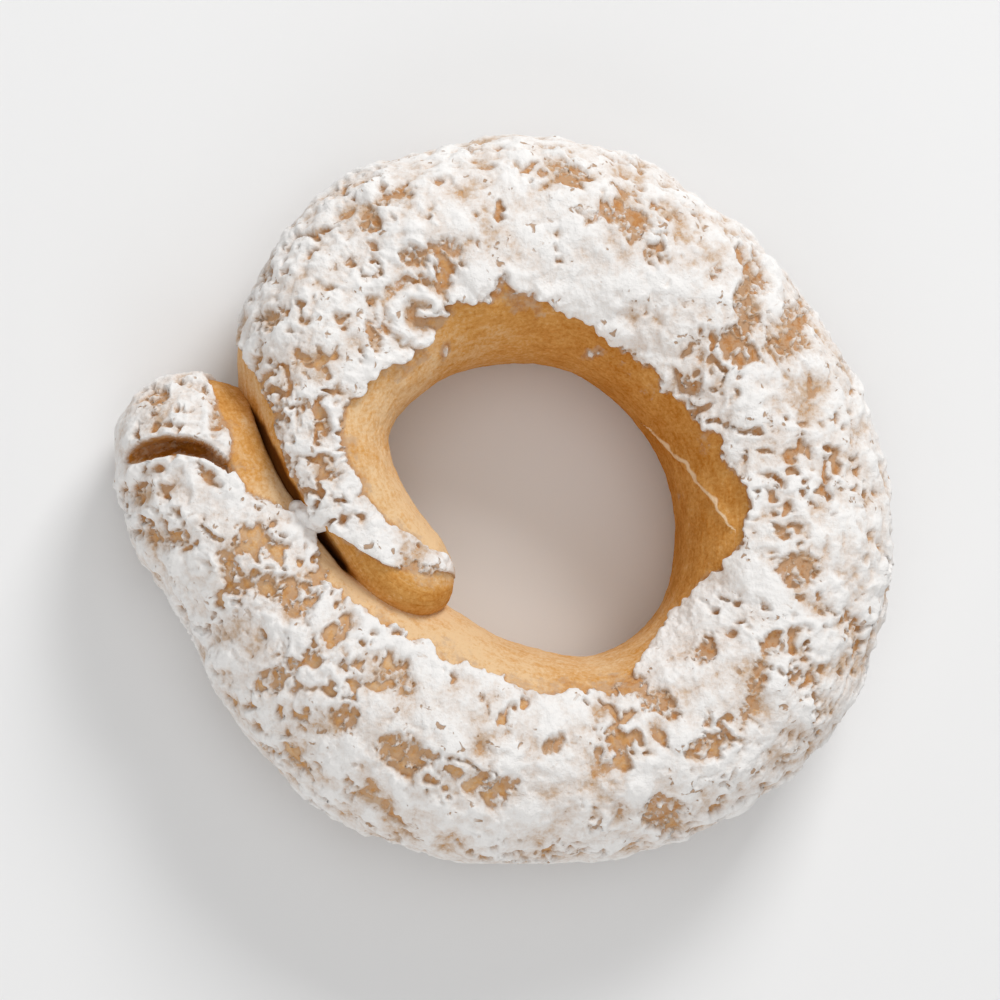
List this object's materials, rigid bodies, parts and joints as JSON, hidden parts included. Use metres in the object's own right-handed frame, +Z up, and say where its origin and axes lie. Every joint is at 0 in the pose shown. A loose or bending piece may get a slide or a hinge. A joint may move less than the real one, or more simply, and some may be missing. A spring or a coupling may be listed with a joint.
{
  "type": "glazed tarallo",
  "caption": "Ring-shaped baked biscuit: one thick rope of dough with its two ends lapped and pressed together, under rough white sugar glaze, lying flat.",
  "frame": {"origin": "middle of the bounding box, on the surface that the tarallo lies on", "axes": "+Z up, out of the glazed top of the lying ring; +X towards the plain side of the ring, away from the lapped ends; +Y across it"},
  "size_m": [0.07, 0.0654, 0.0195],
  "materials": {
    "glaze": "matt white sugar glaze, lumpy and pitted, pinkish where it is thin",
    "crust": "matt golden-brown baked dough, darker in the pits and the crack"
  },
  "bodies": {
    "root": {"tarallo": "glaze"}
  },
  "joints": []
}
